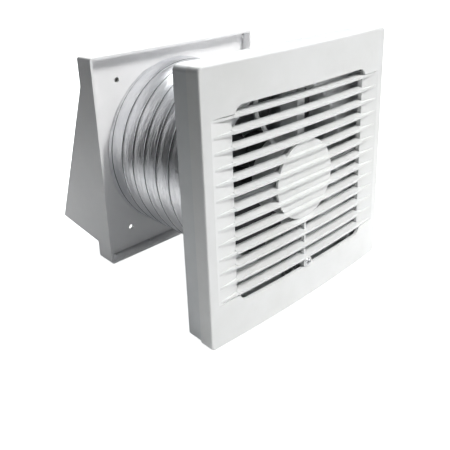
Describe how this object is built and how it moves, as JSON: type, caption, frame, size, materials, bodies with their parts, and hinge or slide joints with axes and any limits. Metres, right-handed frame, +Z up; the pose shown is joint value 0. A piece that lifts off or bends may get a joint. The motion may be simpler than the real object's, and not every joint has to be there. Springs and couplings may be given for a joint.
{
  "type": "bathroom extractor fan",
  "caption": "Square louvred through-wall extractor fan with a flexible aluminium duct and an outside cowl with a sloping hood and back-draught flap.",
  "frame": {"origin": "on the fan's axis, in the plane of the wall that the base is screwed to", "axes": "+Z up, the front grille faces -Y, the duct and cowl run along +Y"},
  "size_m": [0.2, 0.2237, 0.2],
  "materials": {
    "grille_plastic": "smooth white moulded plastic with a soft gloss",
    "housing_plastic": "smooth white moulded plastic",
    "cowl_plastic": "light grey moulded plastic, soft gloss",
    "cradle_plastic": "light grey moulded plastic",
    "impeller_plastic": "black moulded plastic",
    "screw_steel": "bright zinc plated steel",
    "steel": "plain steel",
    "lamination_steel": "stacked electrical steel",
    "copper_winding": "enamelled copper wire",
    "sintered_bronze": "oil-filled sintered bronze",
    "lead_sleeve": "soft white sleeve",
    "terminal_plastic": "off-white moulded plastic",
    "brass_terminal": "plain brass",
    "grommet_rubber": "black rubber",
    "retainer_rubber": "black fibre ring",
    "duct_foil": "bright crinkled aluminium foil with spiral seams"
  },
  "bodies": {
    "fan_unit": {"housing_base": "housing_plastic", "motor_cradle": "cradle_plastic", "cradle_screws": "screw_steel", "stator_core": "lamination_steel", "stator_coils": "copper_winding", "front_bearing_bracket": "steel", "rear_bearing_bracket": "steel", "front_bush": "sintered_bronze", "rear_bush": "sintered_bronze", "motor_bolts": "steel", "terminal_block": "terminal_plastic", "terminal_screws": "brass_terminal", "terminal_cover": "housing_plastic", "terminal_cover_screw": "screw_steel", "cable_grommet": "grommet_rubber", "cable_clamp": "terminal_plastic", "cable_clamp_screws": "screw_steel", "motor_lead": "lead_sleeve", "flexible_duct": "duct_foil"},
    "impeller_group": {"impeller": "impeller_plastic", "motor_shaft": "steel", "rotor": "lamination_steel", "thrust_washers": "lead_sleeve", "impeller_nut": "brass_terminal"},
    "front_grille": {"grille_cover": "grille_plastic", "screw_retainer": "retainer_rubber"},
    "fixing_screw": {"grille_screw": "screw_steel"},
    "cowl": {"cowl_shell": "cowl_plastic", "cowl_plate": "cowl_plastic", "flap_pin": "steel"},
    "flap": {"backdraught_flap": "cowl_plastic"}
  },
  "joints": [
    {"name": "fan_spin", "type": "hinge", "parent": "fan_unit", "child": "impeller_group", "pos_m": [0, 0, 0], "axis": [0, 1, 0], "continuous": true},
    {"name": "grille_swing", "type": "hinge", "parent": "fan_unit", "child": "front_grille", "pos_m": [0, -0.0136, 0.1], "axis": [-1, 0, 0], "range_deg": [0, 30]},
    {"name": "screw_turn", "type": "hinge", "parent": "front_grille", "child": "fixing_screw", "pos_m": [0, -0.0268, -0.069], "axis": [0, -1, 0], "continuous": true},
    {"name": "duct_stretch", "type": "slide", "parent": "fan_unit", "child": "cowl", "axis": [0, 1, 0], "range_m": [0, 0.18], "deforming": ["flexible_duct"]},
    {"name": "flap_swing", "type": "hinge", "parent": "cowl", "child": "flap", "pos_m": [0, 0.1274, 0.0774], "axis": [1, 0, 0], "range_deg": [0, 16]}
  ]
}
